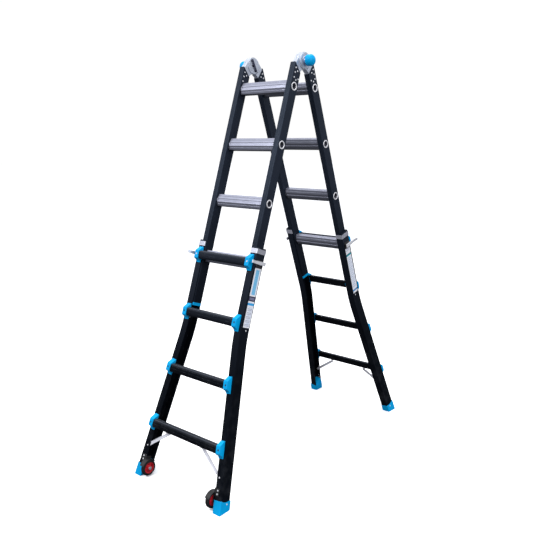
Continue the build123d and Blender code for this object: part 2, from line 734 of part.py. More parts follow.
def lock_housings():
    """Ring on the rail's outer face, closed by a cap with the spindle hole."""
    ring_depth, cap_depth = 5.8, 1.5
    ring_x = OUTER_X + FIT
    with BuildPart() as housings:
        for x, depth, hole_r in ((ring_x, ring_depth, 14.2),
                                 (ring_x + ring_depth, cap_depth, SPINDLE_R + 0.1)):
            with BuildSketch(side_plane(x)):
                with Locations((RAIL_OFF, LOCK_ROW)):
                    RectangleRounded(42, 34, 7)
                    Circle(hole_r, mode=Mode.SUBTRACT)
            extrude(amount=depth)
        mirror(about=Plane.YZ)
    return housings.part


def side_lock():
    """Hooked lever with its pin, drawn clear of the inner rail."""
    with BuildPart() as lock:
        with BuildSketch(cross_plane(LOCK_ROW - 16)):
            with BuildLine():
                Polyline((202.7, 14), (202.7, 78), (204.6, 94), (208.2, 107))
                ThreePointArc((208.2, 107), (212.4, 109.4), (214.2, 105.4))
                Polyline((214.2, 105.4), (210.4, 91), (208.7, 78), (208.7, 14))
                ThreePointArc((208.7, 14), (205.7, 10.6), (202.7, 14))
            make_face()
        extrude(amount=24)
        fillet(lock.edges().filter_by(lambda edge: edge.length > 40), 2.4)
        with BuildSketch(side_plane(190)):
            with BuildLine():
                Polyline(*LEVER_TAPER, close=True)
            make_face()
        extrude(amount=40, mode=Mode.INTERSECT)
        # pin with a chamfered nose, then the spindle that joins it to the lever
        with BuildSketch(side_plane(178.3)):
            with Locations((RAIL_OFF, LOCK_ROW)):
                Circle(SIDE_PIN_R)
        extrude(amount=11.2)
        chamfer(lock.faces().sort_by(Axis.X)[0].edges(), 1.5)
        with BuildSketch(side_plane(189)):
            with Locations((RAIL_OFF, LOCK_ROW)):
                Circle(SPINDLE_R)
        extrude(amount=14.4)
    return lock.part


def lock_spring():
    """Coil spring behind a lock pin, shown compressed."""
    with BuildPart() as spring:
        with BuildLine() as coil:
            Helix(pitch=1.6, height=2.6, radius=9.0,
                  center=tuple(point(191.2, RAIL_OFF, LOCK_ROW)), direction=(1, 0, 0))
        with BuildSketch(Plane(origin=coil.line @ 0, z_dir=coil.line % 0)):
            Circle(0.6)
        sweep(path=coil.line)
    return spring.part


save_front_rear("lock_housings", lock_housings())
save_four("lock", side_lock())
save_four("lock_spring", lock_spring())

# ---------------------------------------------------------------- feet
FOOT_TOP = 656.0                     # boot's upper end, along the splayed rail
CORE_TOP = 634                       # upper end of the core
CORE_IN, CORE_OUT = -18.1, 15.8      # core's sides, across the rail
SOLE_X, SOLE_Y = 270.4, -712.3       # centre of the sole's grooves


def feet():
    """Moulded boot over the rail's end, with a core that fills the channel."""
    with BuildPart() as boots:
        with BuildSketch(Plane(origin=splay_point(FOOT_TOP, 1.0), x_dir=SPLAY_OUT,
                               z_dir=SPLAY_DOWN)):
            RectangleRounded(45.0, 64.0, 4.0)
        extrude(amount=63)
        # level sole: everything below the ground goes
        with BuildSketch(Plane(origin=(270.0, -700.0, 0), x_dir=ACROSS, z_dir=(0, 0, -1))):
            Rectangle(200, 300)
        extrude(amount=90, mode=Mode.SUBTRACT)
        # dipped upper rim
        with BuildSketch(Plane(origin=splay_point(FOOT_TOP - 52, -40), x_dir=OUT,
                               z_dir=SPLAY_OUT)):
            Circle(58)
        extrude(amount=80, mode=Mode.SUBTRACT)
        # slot for the channel, then the core that fills the channel
        with BuildSketch(Plane(origin=splay_point(FOOT_TOP - 12), x_dir=SPLAY_OUT,
                               z_dir=SPLAY_DOWN)):
            Rectangle(OUTER_W + 0.4, OUTER_D + 0.4)
        extrude(amount=FLARE_LEN + 0.2 - FOOT_TOP + 12, mode=Mode.SUBTRACT)
        with BuildSketch(Plane(origin=splay_point(CORE_TOP, (CORE_IN + CORE_OUT) / 2),
                               x_dir=SPLAY_OUT, z_dir=SPLAY_DOWN)):
            RectangleRounded(CORE_OUT - CORE_IN, 54.6, 1.5)
        extrude(amount=FLARE_LEN + 1.0 - CORE_TOP)
        # rivet hole
        with BuildSketch(Plane(origin=splay_point(FOOT_RIVET_ALONG, -5, FOOT_RIVET_OFF),
                               x_dir=OUT, z_dir=SPLAY_OUT)):
            Circle(RIVET_R + FIT)
        extrude(amount=40, mode=Mode.SUBTRACT)
        # grooves under the sole
        with BuildSketch(Plane.XY.offset(-1)):
            with Locations(*[(SOLE_X, SOLE_Y + k * 12) for k in (-1.5, -0.5, 0.5, 1.5)]):
                Rectangle(60, 3)
        extrude(amount=2.0, mode=Mode.SUBTRACT)
        mirror(about=Plane.YZ)
    return boots.part


save_front_rear("feet", feet())

# ---------------------------------------------------------------- braces
# Strip with rolled rims from the lowest tread to the inside of the rail's front flange.
BRACE_FOOT = (121.0, 1849.0)         # (x, down) of the strip's tread end
BRACE_LEN = sqrt((BRACE_RAIL[0] - BRACE_FOOT[0]) ** 2 + (BRACE_RAIL[1] - BRACE_FOOT[1]) ** 2)
BRACE_DX = (BRACE_RAIL[0] - BRACE_FOOT[0]) / BRACE_LEN
BRACE_DY = (BRACE_RAIL[1] - BRACE_FOOT[1]) / BRACE_LEN
BRACE_HALF = 7.5                     # half width of the strip
BRACE_T = 3.0                        # sheet thickness
RIM_W = 2.2
JOGGLE = (26.3, 30.3)                # back from the rail end
TAB_DOWN = TREAD_ROWS[-1] + TREAD_BOT + 0.15


def brace_point(back, square):
    """(x, down) at back from the strip's rail end, square to its centre line."""
    return (BRACE_RAIL[0] - BRACE_DX * back + BRACE_DY * square,
            BRACE_RAIL[1] - BRACE_DY * back - BRACE_DX * square)


def braces():
    half = BRACE_HALF
    joggle_0, joggle_1 = JOGGLE
    upper_end = brace_point(BRACE_LEN, half)
    lower_end = brace_point(BRACE_LEN, -half)
    tab_x0, tab_x1 = lower_end[0] - 7, upper_end[0] - 2
    with BuildPart() as strips:
        with BuildSketch(face_plane(OUTER_FRONT)):
            with BuildLine():
                Polyline(brace_point(joggle_0, half), upper_end, (tab_x1, TAB_DOWN),
                         (tab_x0, TAB_DOWN), (tab_x0, lower_end[1] - 4), lower_end,
                         brace_point(joggle_0, -half), close=True)
            make_face()
        extrude(amount=BRACE_T)
        # joggle past the flange's edge and the riveted end inside the channel
        with BuildSketch(face_plane(OUTER_FRONT)):
            with BuildLine():
                Polyline(brace_point(joggle_0, half), brace_point(joggle_1, half),
                         brace_point(joggle_1, -half), brace_point(joggle_0, -half), close=True)
            make_face()
        extrude(amount=5.6)
        with BuildSketch(face_plane(OUTER_FRONT - OUTER_WALL - 0.1)):
            with BuildLine():
                Polyline(brace_point(0, half), brace_point(joggle_1, half),
                         brace_point(joggle_1, -half), brace_point(0, -half))
                ThreePointArc(brace_point(0, -half), brace_point(-half, 0), brace_point(0, half))
            make_face()
        extrude(amount=BRACE_T)
        # rolled rims that stiffen the strip
        rim_start, rim_end = 28, BRACE_LEN - 6
        with BuildSketch(face_plane(OUTER_FRONT + 2.0)):
            for rim in (1, -1):
                with BuildLine():
                    Polyline(brace_point(rim_start, rim * half), brace_point(rim_end, rim * half),
                             brace_point(rim_end, rim * (half - RIM_W)),
                             brace_point(rim_start, rim * (half - RIM_W)), close=True)
                make_face()
        extrude(amount=2.6)
        # tab under the tread
        with BuildSketch(cross_plane(TAB_DOWN)):
            with Locations(((tab_x0 + tab_x1) / 2, 75.05)):
                RectangleRounded(tab_x1 - tab_x0, 27.9, 2.5)
        extrude(amount=BRACE_T)
        # rivet holes at the tread and at the rail
        with BuildSketch(cross_plane(TAB_DOWN - 1)):
            with Locations(BRACE_TREAD):
                Circle(RIVET_R + FIT)
        extrude(amount=6, mode=Mode.SUBTRACT)
        with BuildSketch(face_plane(OUTER_FRONT + 6)):
            with Locations(BRACE_RAIL):
                Circle(RIVET_R + FIT)
        extrude(amount=14, mode=Mode.SUBTRACT)
        mirror(about=Plane.YZ)
    return strips.part


save_front_rear("braces", braces())

# ---------------------------------------------------------------- casters, front section only
WHEEL_R = 39.0
WHEEL_OFF = 54.5
WHEEL_DOWN = 2041.0
WHEEL_X0, WHEEL_X1 = 211.0, 233.0
WHEEL_CENTRE = point(0, WHEEL_OFF, WHEEL_DOWN)
AXLE_R = 4.95
PLATE_X0, PLATE_X1 = 235.2, 238.2    # upright plate of the bracket
FLANGE_OFF = OUTER_FRONT + 2.6       # outer face of the bracket's riveted flange
# (start x, radius, thickness): pin, inner end head, inner collar, outer washer
AXLE_STEPS = [(209.0, AXLE_R, 32.0), (206.2, 6.4, 1.4), (207.4, 8.0, 3.0), (233.3, 9.0, 1.8)]


def wheel_brackets():
    hood_x0 = 212.0
    hood_out, hood_in = 43.0, 40.9
    hood_from, hood_sweep = -132, 122    # degrees
    flange_x1 = 264
    with BuildPart() as brackets:
        with BuildSketch(side_plane(PLATE_X0)):
            with BuildLine():
                Polyline((38, 1990), (FLANGE_OFF, 1990), (FLANGE_OFF, 2016),
                         (67.5, WHEEL_DOWN))
                ThreePointArc((67.5, WHEEL_DOWN), (WHEEL_OFF, 2054), (41.5, WHEEL_DOWN))
                Line((41.5, WHEEL_DOWN), (38, 1990))
            make_face()
            with Locations((WHEEL_OFF, WHEEL_DOWN)):
                Circle(AXLE_R + FIT, mode=Mode.SUBTRACT)
        extrude(amount=3.0)
        # flange riveted to the rail
        with BuildSketch(face_plane(FLANGE_OFF)):
            with Locations(((PLATE_X0 + flange_x1) / 2, 1999)):
                RectangleRounded(flange_x1 - PLATE_X0, 34, 3)
            with Locations(*CASTER_RIVETS):
                Circle(RIVET_R + FIT, mode=Mode.SUBTRACT)
        extrude(amount=2.5)
        # hood over the wheel
        with BuildSketch(side_plane(hood_x0)):
            with BuildLine():
                for radius in (hood_out, hood_in):
                    CenterArc((WHEEL_OFF, WHEEL_DOWN), radius, hood_from, hood_sweep)
                for angle in (hood_from, hood_from + hood_sweep):
                    ca, sa = cos(radians(angle)), sin(radians(angle))
                    Line((WHEEL_OFF + hood_out * ca, WHEEL_DOWN + hood_out * sa),
                         (WHEEL_OFF + hood_in * ca, WHEEL_DOWN + hood_in * sa))
            make_face()
        extrude(amount=PLATE_X1 - hood_x0)
        mirror(about=Plane.YZ)
    return brackets.part


def wheel_axles():
    with BuildPart() as axles:
        for x, radius, thickness in AXLE_STEPS:
            with BuildSketch(side_plane(x)):
                with Locations((WHEEL_OFF, WHEEL_DOWN)):
                    Circle(radius)
            extrude(amount=thickness)
        # hexagon outside the bracket
        with BuildSketch(side_plane(PLATE_X1 + 0.1)):
            with Locations((WHEEL_OFF, WHEEL_DOWN)):
                RegularPolygon(7.2, 6)
        extrude(amount=2.2)
        mirror(about=Plane.YZ)
    return axles.part


def tyre():
    left, right = WHEEL_X0, WHEEL_X1
    with BuildPart() as ring:
        with BuildSketch(Plane(origin=WHEEL_CENTRE, x_dir=ACROSS, z_dir=DOWN)):
            with BuildLine():
                Polyline((left + 2.5, 27.05), (left + 1.2, 29.5), (left + 0.8, 33.0))
                Spline((left + 0.8, 33.0), (left + 2.2, 36.6), (left + 6, 38.5),
                       ((left + right) / 2, WHEEL_R),
                       (right - 6, 38.5), (right - 2.2, 36.6), (right - 0.8, 33.0))
                Polyline((right - 0.8, 33.0), (right - 1.2, 29.5), (right - 2.5, 27.05),
                         (left + 2.5, 27.05))
            make_face()
        revolve(axis=Axis(tuple(WHEEL_CENTRE), (1, 0, 0)))
    return ring.part


# (distance in from the hub's end, radius)
HUB_HALF = [(0, 5.0), (0, 10.5), (4, 12.0), (6.5, 22.0), (3.0, 24.0), (2.6, 27.0)]
HUB_OUTLINE = ([(WHEEL_X0 + inset, r) for inset, r in HUB_HALF]
               + [(WHEEL_X1 - inset, r) for inset, r in reversed(HUB_HALF)])


def wheel_hub():
    with BuildPart() as hub:
        with BuildSketch(Plane(origin=WHEEL_CENTRE, x_dir=ACROSS, z_dir=DOWN)):
            with BuildLine():
                Polyline(*HUB_OUTLINE, close=True)
            make_face()
        revolve(axis=Axis(tuple(WHEEL_CENTRE), (1, 0, 0)))
        # five windows between the spokes
        with BuildSketch(side_plane(WHEEL_X0 - 1)):
            with Locations((WHEEL_OFF, WHEEL_DOWN)):
                with PolarLocations(17.0, 5):
                    SlotOverall(9.5, 6.0, rotation=90)
        extrude(amount=WHEEL_X1 - WHEEL_X0 + 2, mode=Mode.SUBTRACT)
    return hub.part


save("wheel_brackets", wheel_brackets())
save("wheel_axles", wheel_axles())
save_right_left("tyre", tyre())
save_right_left("wheel_hub", wheel_hub())

# ---------------------------------------------------------------- rivets on the outer frames
STOP_OFF, STOP_DOWN = STOP_RIVET
# (underside of the head, direction out of the head, shank length)
SHARED_RIVETS = [
    # rail stop
    (point(edge_x(STOP_DOWN, 0) + 0.13, STOP_OFF, STOP_DOWN), ACROSS, 4.0),
    # foot
    (splay_point(FOOT_RIVET_ALONG, 23.55, FOOT_RIVET_OFF), SPLAY_OUT, 20.0),
    # brace to rail
    (point(BRACE_RAIL[0], OUTER_FRONT + FIT, BRACE_RAIL[1]), OUT, 6.8),
    # brace to tread
    (point(*BRACE_TREAD, TREAD_ROWS[-1] + TREAD_BOT + 3.2), DOWN, 7.0)]
WHEEL_RIVETS = [(point(x, FLANGE_OFF + FIT, down), OUT, 6.4) for x, down in CASTER_RIVETS]


def half_turn(vector):
    """Vector turned half round Z, to the rear section."""
    return Vector(-vector.X, -vector.Y, vector.Z)


def frame_rivets(stations):
    with BuildPart() as rivets:
        for start, direction, shank in stations:
            with BuildSketch(Plane(origin=start, z_dir=direction)):
                Circle(4.0)
            extrude(amount=1.3, taper=40)
            with BuildSketch(Plane(origin=start, z_dir=direction)):
                Circle(RIVET_R)
            extrude(amount=-shank)
        mirror(about=Plane.YZ)
    return rivets.part


save("front_rivets", frame_rivets(SHARED_RIVETS + WHEEL_RIVETS))
save("rear_rivets", frame_rivets([(half_turn(start), half_turn(direction), shank)
                                  for start, direction, shank in SHARED_RIVETS]))

# ---------------------------------------------------------------- rating plates
# Blank plates on the outer faces of the right rails.
PLATE_T = 0.35
PLATE_W = 42
# (upper end, lower end), down the rail
FRONT_PLATES = [(999, 1129), (1131, 1150), (1152, 1274)]
REAR_PLATES = [(998, 1034), (1037, 1274)]


def rating_plates(plane, off, spans):
    with BuildPart() as plates:
        with BuildSketch(plane):
            for top, bottom in spans:
                with Locations((off, (top + bottom) / 2)):
                    RectangleRounded(PLATE_W, bottom - top, 1.5)
        extrude(amount=PLATE_T)
    return plates.part


save("front_labels", rating_plates(side_plane(OUTER_X + FIT), 34, FRONT_PLATES))
save("rear_labels", rating_plates(rear_side_plane(OUTER_X + FIT + PLATE_T), 37, REAR_PLATES))
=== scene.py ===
# Folding ladder with a pair of wheels, standing open as an A on the floor near z = 0.
# The hinge axis runs along X at the top. The front section slopes down towards -Y and the
# rear one towards +Y. Sizes are metres, except the tyre profile, which is in millimetres.
import bpy
import bmesh
import math
from functools import cache
from mathutils import Vector, Matrix


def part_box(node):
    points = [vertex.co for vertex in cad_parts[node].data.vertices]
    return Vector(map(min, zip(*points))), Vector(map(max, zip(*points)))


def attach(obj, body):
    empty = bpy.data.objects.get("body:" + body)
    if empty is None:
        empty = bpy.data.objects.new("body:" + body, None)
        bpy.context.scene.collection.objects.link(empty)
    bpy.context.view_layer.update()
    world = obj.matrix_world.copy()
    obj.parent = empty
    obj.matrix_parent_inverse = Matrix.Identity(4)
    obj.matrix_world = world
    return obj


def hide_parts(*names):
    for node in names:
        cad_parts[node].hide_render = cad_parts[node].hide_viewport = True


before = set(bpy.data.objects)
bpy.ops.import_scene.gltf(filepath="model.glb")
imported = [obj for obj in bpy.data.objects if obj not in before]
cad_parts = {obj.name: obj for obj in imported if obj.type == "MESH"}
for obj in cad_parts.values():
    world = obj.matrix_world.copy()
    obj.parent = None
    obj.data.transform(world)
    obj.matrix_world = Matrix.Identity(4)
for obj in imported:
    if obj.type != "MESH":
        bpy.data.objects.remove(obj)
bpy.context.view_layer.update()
scene = bpy.context.scene

LEAN = math.radians(19.0)           # each section from the vertical
HINGE = Vector((0, 0, 1.955))
SIN, COS = math.sin(LEAN), math.cos(LEAN)
# side: (direction down the section, direction square to it and outwards)
SECTIONS = {
    "front": (Vector((0, -SIN, -COS)), Vector((0, -COS, SIN))),
    "rear": (Vector((0, SIN, -COS)), Vector((0, COS, SIN))),
}


# ------------------------------------------------------------------ colours
def srgb(*channels):
    """Linear colour from 0-255 sRGB channels."""
    return tuple(((c / 255 + 0.055) / 1.055) ** 2.4 if c > 10 else c / 255 / 12.92
                 for c in channels)


def shade(colour, gain, lift=0.0):
    return tuple(min(1, c * gain + lift) for c in colour)


RAIL_BLUE = (0.0095, 0.0130, 0.0220)
TREAD_BLUE = (0.0095, 0.0120, 0.0190)
# the next two colours are painted light for tread tops and painted shade for tread undersides
TREAD_TOP_PAINTED_LIGHT = (0.060, 0.066, 0.082)
TREAD_UNDERSIDE_PAINTED_SHADE = (0.0018, 0.0022, 0.0032)
BARE_EDGE = (0.15, 0.165, 0.20)
DUST = (0.16, 0.17, 0.19)
SCRATCH = (0.11, 0.115, 0.125)
PLASTIC_BLUE = (0.0, 0.375, 0.790)
HUB_RED = srgb(196, 16, 34)
ALUMINIUM = srgb(182, 185, 204)
END_RING = (0.93, 0.93, 0.97)
CASTING = srgb(212, 219, 233)


# ------------------------------------------------------------------ node graphs
def fill_ramp(ramp, stops):
    while len(ramp.elements) < len(stops):
        ramp.elements.new(0.5)
    for element, (position, colour) in zip(ramp.elements, stops):
        element.position = position
        element.color = (*colour, 1)


class Graph:
    """Node tree builder. Values may be sockets, numbers or tuples."""

    def __init__(self, tree):
        self.tree = tree
        tree.nodes.clear()

    def feed(self, socket, value):
        if value is None:
            return
        if isinstance(value, bpy.types.NodeSocket):
            self.tree.links.new(value, socket)
        elif socket.type == "RGBA":
            socket.default_value = (*value, 1)
        else:
            socket.default_value = value

    def node(self, kind, feeds=None, **settings):
        made = self.tree.nodes.new("ShaderNode" + kind)
        for key, value in settings.items():
            setattr(made, key, value)
        for key, value in (feeds or {}).items():
            self.feed(made.inputs[key], value)
        return made

    def math(self, operation, a, b=0.0):
        return self.node("Math", {0: a, 1: b, 2: 0.0}, operation=operation).outputs[0]

    def vector(self, operation, a, b):
        return self.node("VectorMath", {0: a, 1: b}, operation=operation).outputs["Vector"]

    def dot(self, a, b):
        return self.node("VectorMath", {0: a, 1: b}, operation="DOT_PRODUCT").outputs["Value"]

    def split(self, vector):
        return self.node("SeparateXYZ", {0: vector}).outputs

    def remap(self, value, over, to=(0, 1)):
        """Value carried from the range `over` to the range `to`, clamped."""
        return self.node("MapRange", {
            "Value": value, "From Min": over[0], "From Max": over[1],
            "To Min": to[0], "To Max": to[1]}).outputs[0]

    def ramp(self, value, stops):
        made = self.node("ValToRGB", {0: value})
        fill_ramp(made.color_ramp, stops)
        return made.outputs[0]

    def noise(self, place, scale=1.0, detail=3, stretch=None):
        if stretch:
            place = self.vector("MULTIPLY", place, stretch)
        return self.node("TexNoise", {"Vector": place, "Scale": scale, "Detail": detail,
                                      "Roughness": 0.55}).outputs["Fac"]

    def patches(self, place, over, to=(0, 1), **noise):
        return self.remap(self.noise(place, **noise), over, to)

    def mix(self, amount, under, top):
        return self.node("Mix", {0: amount, 6: under, 7: top}, data_type="RGBA").outputs[2]

    def normal(self):
        return self.node("NewGeometry").outputs["Normal"]

    def soft(self, radius):
        """Shading normal with sharp edges eased over by radius."""
        return self.node("Bevel", {"Radius": radius}, samples=4).outputs[0]

    def edge(self, radius):
        """About 0 on flats, rising to 1 on sharp outer edges."""
        return self.remap(self.dot(self.soft(radius), self.normal()), over=(0.98, 0.80))

    def bump(self, height, strength, distance, normal=None):
        return self.node("Bump", {"Height": height, "Strength": strength,
                                  "Distance": distance, "Normal": normal}).outputs[0]


class Surface(Graph):
    """A material with one principled shader."""

    def __init__(self, name):
        self.material = bpy.data.materials.new(name)
        self.material.use_nodes = True
        super().__init__(self.material.node_tree)
        output = self.node("OutputMaterial")
        self.shader = self.node("BsdfPrincipled")
        self.feed(output.inputs[0], self.shader.outputs[0])
        self.place = self.node("TexCoord").outputs["Object"]

    def section(self, side):
        """Place in the section's frame, then its parts: across X, outwards, down from hinge."""
        down, outward = SECTIONS[side]
        place = self.vector("SUBTRACT", self.place, tuple(HINGE))
        parts = [self.dot(place, axis) for axis in ((1, 0, 0), tuple(outward), tuple(down))]
        return self.node("CombineXYZ", dict(enumerate(parts))).outputs[0], *parts

    def finish(self, colour, roughness, normal=None, metallic=0.0, specular=0.5):
        for name, value in (("Base Color", colour), ("Roughness", roughness),
                            ("Normal", normal), ("Metallic", metallic),
                            ("Specular IOR Level", specular)):
            self.feed(self.shader.inputs[name], value)
        return self.material


# ------------------------------------------------------------------ materials
@cache
def painted(name, side, base, specular):
    """Dark powder coat of the rails and treads, with painted light on the tread tops and
    painted shade under them.
    """
    g = Surface(f"{name}_{side}")
    place, _, _, down = g.section(side)
    streak = g.noise(place, detail=4, stretch=(900, 900, 5))
    peel = g.noise(place, scale=1500.0, detail=2)
    # slow mottling, then fine drawn lines
    mottle = g.patches(place, scale=7.0, detail=4, over=(0.35, 0.7))
    colour = g.mix(mottle, base, shade(base, gain=1.30))
    colour = g.mix(g.remap(streak, over=(0.50, 0.78), to=(0, 0.30)), colour,
                   shade(base, gain=1.9))
    # deeper colour low down
    colour = g.mix(g.remap(down, over=(0.7, 1.5), to=(0.0, 0.88)), colour,
                   shade(base, gain=0.14))
    if name == "tread_paint":
        # painted light on the up-facing stepping face over painted shade on the underside
        facing_up = g.split(g.normal())[2]
        colour = g.mix(g.remap(facing_up, over=(0.45, 0.95), to=(0.0, 0.85)), colour, TREAD_TOP_PAINTED_LIGHT)
        colour = g.mix(g.remap(facing_up, over=(0.10, -0.35), to=(0.0, 0.9)), colour,
                       TREAD_UNDERSIDE_PAINTED_SHADE)
    # rubbed edges
    worn = g.patches(place, scale=60, detail=4, over=(0.50, 0.68), to=(0, 0.55))
    colour = g.mix(g.math("MULTIPLY", g.edge(radius=0.0012), worn), colour, BARE_EDGE)
    # pale dust low down and short scratches
    dusty = g.math("MULTIPLY", g.remap(down, over=(1.35, 2.08)),
                   g.patches(place, scale=26, detail=5, over=(0.46, 0.72), to=(0, 0.10)))
    colour = g.mix(dusty, colour, DUST)
    scratched = g.patches(place, detail=2, stretch=(260, 260, 14), over=(0.74, 0.78),
                          to=(0, 0.35))
    colour = g.mix(scratched, colour, SCRATCH)
    g.feed(g.shader.inputs["Specular Tint"], (0.56, 0.72, 1.0))
    height = g.math("ADD", g.math("MULTIPLY", peel, 0.6), g.math("MULTIPLY", streak, 0.6))
    return g.finish(
        colour, g.patches(place, scale=34, over=(0.3, 0.7), to=(0.36, 0.50)),
        g.bump(height, strength=0.20, distance=0.0004, normal=g.soft(0.0010)),
        specular=g.remap(down, over=(0.6, 1.5), to=(specular, specular * 0.22)))


@cache
def rung_metal(side):
    """Extruded aluminium with polished rings at the rung ends, and painted shade on undersides
    and in corners.
    """
    ring_start = 0.1755     # distance from the middle in X
    base = ALUMINIUM
    g = Surface(f"rung_metal_{side}")
    place, across, _, _ = g.section(side)
    streak = g.noise(place, detail=5, stretch=(5, 700, 700))
    mottle = g.patches(place, scale=22.0, detail=4, over=(0.3, 0.7))
    colour = g.mix(mottle, shade(base, gain=0.88), base)
    colour = g.mix(g.remap(streak, over=(0.35, 0.75), to=(0.0, 0.45)), colour,
                   shade(base, gain=0.55))
    # die lines, then scuffs
    die = g.noise(place, detail=3, stretch=(0.6, 420, 420))
    colour = g.mix(g.remap(die, over=(0.56, 0.66), to=(0, 0.22)), colour,
                   shade(base, gain=0.50))
    scuffed = g.patches(place, scale=3.0, detail=5, stretch=(60, 25, 25), over=(0.64, 0.74),
                        to=(0, 0.32))
    colour = g.mix(scuffed, colour, shade(base, gain=0.55))
    # painted shade on undersides (by normal) and in corners (by ambient occlusion)
    facing_up = g.split(g.normal())[2]
    colour = g.mix(g.remap(facing_up, over=(0.25, -0.55), to=(0.0, 0.78)), colour,
                   shade(base, gain=0.20))
    openness = g.node("AmbientOcclusion", {"Distance": 0.006}, samples=6).outputs["AO"]
    colour = g.mix(g.remap(openness, over=(0.92, 0.45), to=(0.0, 0.80)), colour,
                   shade(base, gain=0.12))
    ring = g.math("GREATER_THAN", g.math("ABSOLUTE", across), ring_start)
    colour = g.mix(ring, colour, END_RING)
    height = g.math("ADD", streak, g.math("MULTIPLY", die, 0.8))
    return g.finish(
        colour, g.remap(streak, over=(0.3, 0.7), to=(0.28, 0.40)),
        g.bump(height, strength=0.14, distance=0.0003, normal=g.soft(0.0005)),
        metallic=g.math("SUBTRACT", 0.80, g.math("MULTIPLY", ring, 0.45)))


@cache
def plastic(name, base, rough, grain=900.0, bump=0.16, dirt=0.25, specular=0.5):
    g = Surface(name)
    place = g.place
    colour = g.mix(g.patches(place, scale=14.0, detail=4, over=(0.3, 0.7)),
                   shade(base, gain=0.90), shade(base, gain=1.06))
    worn = g.patches(place, scale=90, over=(0.42, 0.62), to=(0.1, 0.55))
    colour = g.mix(g.math("MULTIPLY", g.edge(radius=0.0016), worn), colour,
                   shade(base, gain=1.15, lift=0.10))
    smudged = g.patches(place, scale=38.0, detail=5, over=(0.60, 0.78), to=(0, dirt))
    colour = g.mix(smudged, colour, shade(base, gain=0.45, lift=0.02))
    return g.finish(
        colour, g.patches(place, scale=45, over=(0.3, 0.7), to=(rough - 0.06, rough + 0.10)),
        g.bump(g.noise(place, scale=grain, detail=2), strength=bump, distance=0.0003,
               normal=g.soft(0.0012)),
        specular=specular)


@cache
def metal(name, base, rough, grain=(60, 60, 900), bump=0.08, metallic=1.0):
    """Brushed metal with dark spots; `grain` stretches the brushing."""
    g = Surface(name)
    place = g.place
    brushing = g.noise(place, detail=5, stretch=grain)
    colour = g.mix(g.patches(place, scale=30.0, detail=4, over=(0.3, 0.72)),
                   shade(base, gain=0.84), base)
    spots = g.patches(place, scale=120, detail=4, over=(0.6, 0.75), to=(0, 0.25))
    colour = g.mix(spots, colour, shade(base, gain=0.5))
    return g.finish(
        colour, g.remap(brushing, over=(0.3, 0.7), to=(rough - 0.05, rough + 0.12)),
        g.bump(brushing, strength=bump, distance=0.0003, normal=g.soft(0.0005)),
        metallic=metallic)


@cache
def casting():
    """Grainy cast metal with faint rings turned about the hinge axis."""
    g = Surface("hinge_casting")
    grain = g.noise(g.place, scale=1100.0, detail=3)
    _, y, z = g.split(g.vector("SUBTRACT", g.place, tuple(HINGE)))
    radius = g.math("SQRT", g.math("ADD", g.math("POWER", y, 2.0), g.math("POWER", z, 2.0)))
    rings = g.math("SINE", g.math("MULTIPLY", radius, 9000.0))
    colour = g.mix(g.patches(g.place, scale=45.0, detail=5, over=(0.35, 0.68)),
                   shade(CASTING, gain=0.78), CASTING)
    height = g.math("ADD", g.math("MULTIPLY", grain, 1.0), g.math("MULTIPLY", rings, 0.10))
    return g.finish(
        colour, g.remap(grain, over=(0.3, 0.7), to=(0.32, 0.48)),
        g.bump(height, strength=0.25, distance=0.0004, normal=g.soft(0.0008)),
        metallic=0.55)


def text_rules(first, pitch, count, height, start, end, short_end, short_every, colours):
    """Rows of thin rules; each `short_every`-th one stops at short_end."""
    rules = []
    for i in range(count):
        row = first + i * pitch
        stop = end if i % short_every else short_end
        rules.append(((row, row + height), (start, stop), colours[i % len(colours)]))
    return rules


@cache
def label_film(side):
    """Printed film: plain bands and grey rules only, no lettering."""
    print_shift = 0.003     # moves the whole print outwards
    white, sky, deep = srgb(240, 243, 252), srgb(120, 196, 240), srgb(30, 128, 190)
    grey, pale = srgb(150, 162, 190), srgb(196, 214, 240)
    g = Surface(f"plate_{side}")
    place, _, outward, down = g.section(side)

    def between(value, low, high):
        return g.math("MULTIPLY", g.math("GREATER_THAN", value, low),
                      g.math("LESS_THAN", value, high))

    def block(rows, columns):
        return g.math("MULTIPLY", between(down, *rows),
                      between(outward, *(edge + print_shift for edge in columns)))

    colour = g.mix(0.0, white, white)
    # bars: (range down the section, range outwards, colour)
    if side == "front":
        # sky blue field in a white border, broken by a blocky pattern
        field = block((1.006, 1.122), (0.019, 0.043))
        cells = g.node("TexVoronoi", {
            "Vector": g.vector("MULTIPLY", place, (1, 150, 260)),
            "Scale": 1.0, "Randomness": 0.35}, feature="F1", distance="CHEBYCHEV")
        tone = g.ramp(cells.outputs["Distance"], [
            (0.0, deep), (0.22, sky), (0.42, sky), (0.60, srgb(176, 222, 248))])
        colour = g.mix(field, colour, tone)
        bars = [
            ((1.130, 1.151), (0.0, 0.06), srgb(66, 64, 92)),
            ((1.135, 1.146), (0.015, 0.046), srgb(120, 122, 150)),
            ((1.160, 1.171), (0.0, 0.06), srgb(60, 168, 232)),
        ] + text_rules(first=1.180, pitch=0.0060, count=15, height=0.0026, start=0.015,
                       end=0.047, short_end=0.038, short_every=3, colours=(pale, grey, grey))
    else:
        bars = [
            ((1.036, 1.046), (0.0, 0.07), srgb(0, 150, 165)),
            ((1.004, 1.008), (0.018, 0.05), grey),
            ((1.013, 1.016), (0.018, 0.046), grey),
            ((1.252, 1.262), (0.0, 0.07), deep),
        ] + text_rules(first=1.056, pitch=0.0059, count=32, height=0.0024, start=0.018,
                       end=0.051, short_end=0.041, short_every=4, colours=(grey, pale))
    for rows, columns, ink in bars:
        colour = g.mix(block(rows, columns), colour, ink)
    dirty = g.patches(place, scale=70, detail=4, over=(0.6, 0.8), to=(0, 0.12))
    colour = g.mix(dirty, colour, (0.4, 0.42, 0.46))
    return g.finish(
        colour, g.patches(place, scale=30, over=(0.3, 0.7), to=(0.30, 0.42)),
        g.bump(g.noise(place, scale=700, detail=2), strength=0.06, distance=0.0002))


